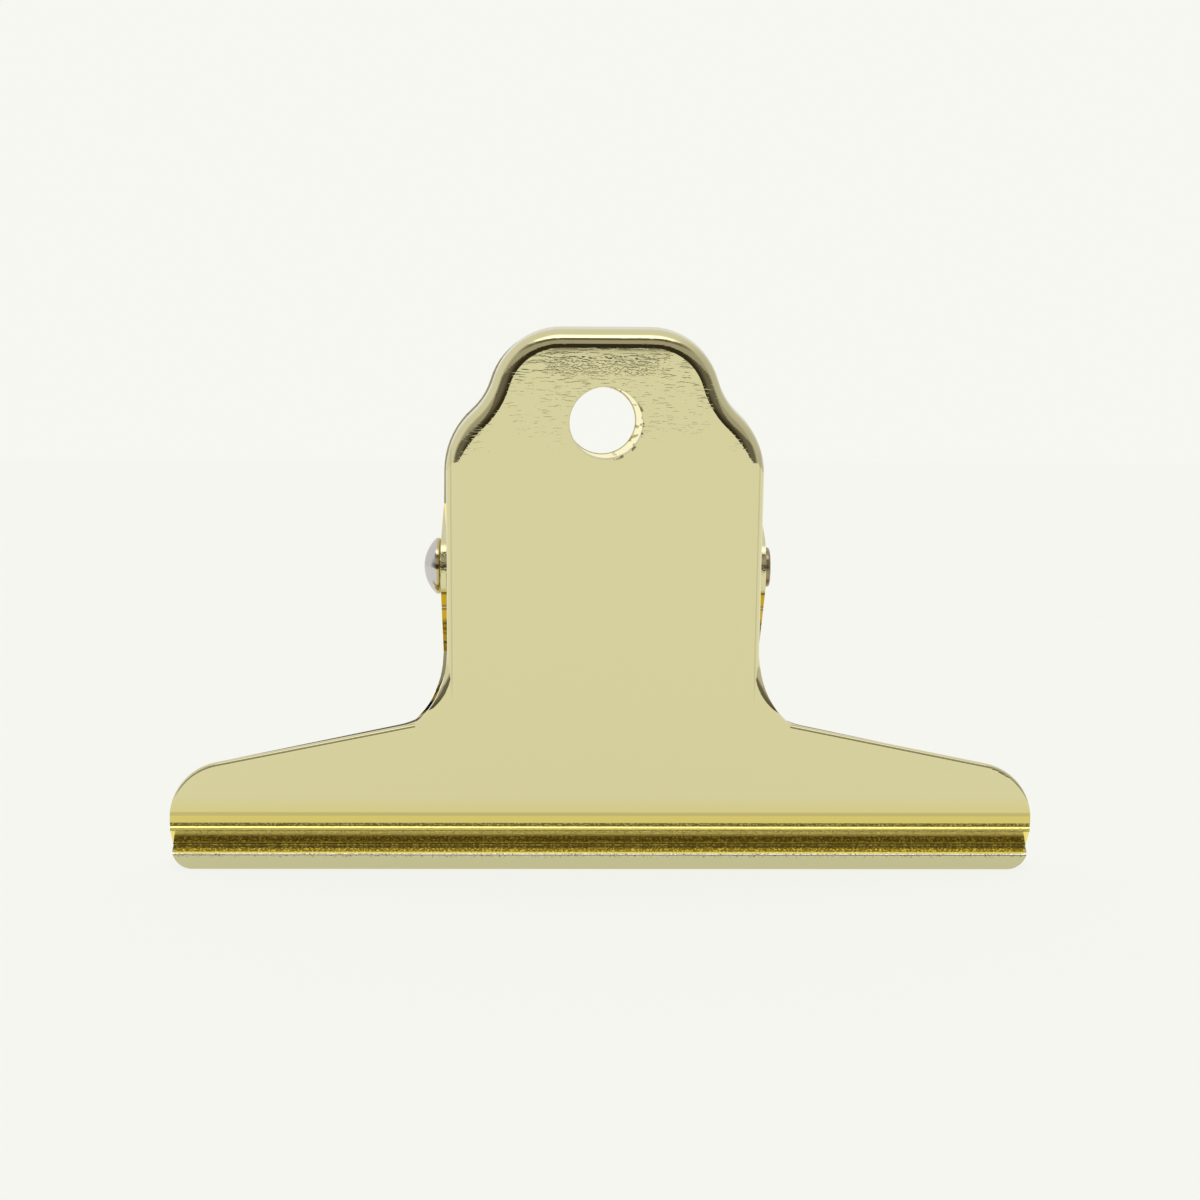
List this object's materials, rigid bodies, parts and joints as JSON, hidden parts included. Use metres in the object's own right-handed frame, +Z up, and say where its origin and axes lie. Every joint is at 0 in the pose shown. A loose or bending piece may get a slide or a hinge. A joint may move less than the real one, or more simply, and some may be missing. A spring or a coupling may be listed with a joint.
{
  "type": "bulldog clip",
  "caption": "Wide sprung paper clip: hinged sheet-metal leaves with broad grooved jaws and handles with a hanging hole, closed by a torsion spring.",
  "frame": {"origin": "middle of the jaws' lower edge, on the plane between the two leaves", "axes": "+X along the jaws, +Y from the front leaf to the rear leaf, +Z up the handles"},
  "size_m": [0.135, 0.0332, 0.0852],
  "materials": {
    "plated_sheet": "bright pale-gold plating over pressed steel sheet, fine rolling grain",
    "nickel_pin": "bright nickel-plated steel rivet",
    "spring_wire": "drawn spring-steel wire, zinc plated"
  },
  "bodies": {
    "rear_half": {"rear_leaf": "plated_sheet", "hinge_pin": "nickel_pin", "torsion_spring": "spring_wire"},
    "front_half": {"front_leaf": "plated_sheet"}
  },
  "joints": [
    {"name": "jaw_open", "type": "hinge", "parent": "rear_half", "child": "front_half", "pos_m": [0, 0, 0.0477], "axis": [-1, 0, 0], "range_deg": [0, 35], "stiffness_Nm_per_rad": 0.9, "springref_deg": -50.99, "deforming": ["torsion_spring"]}
  ]
}
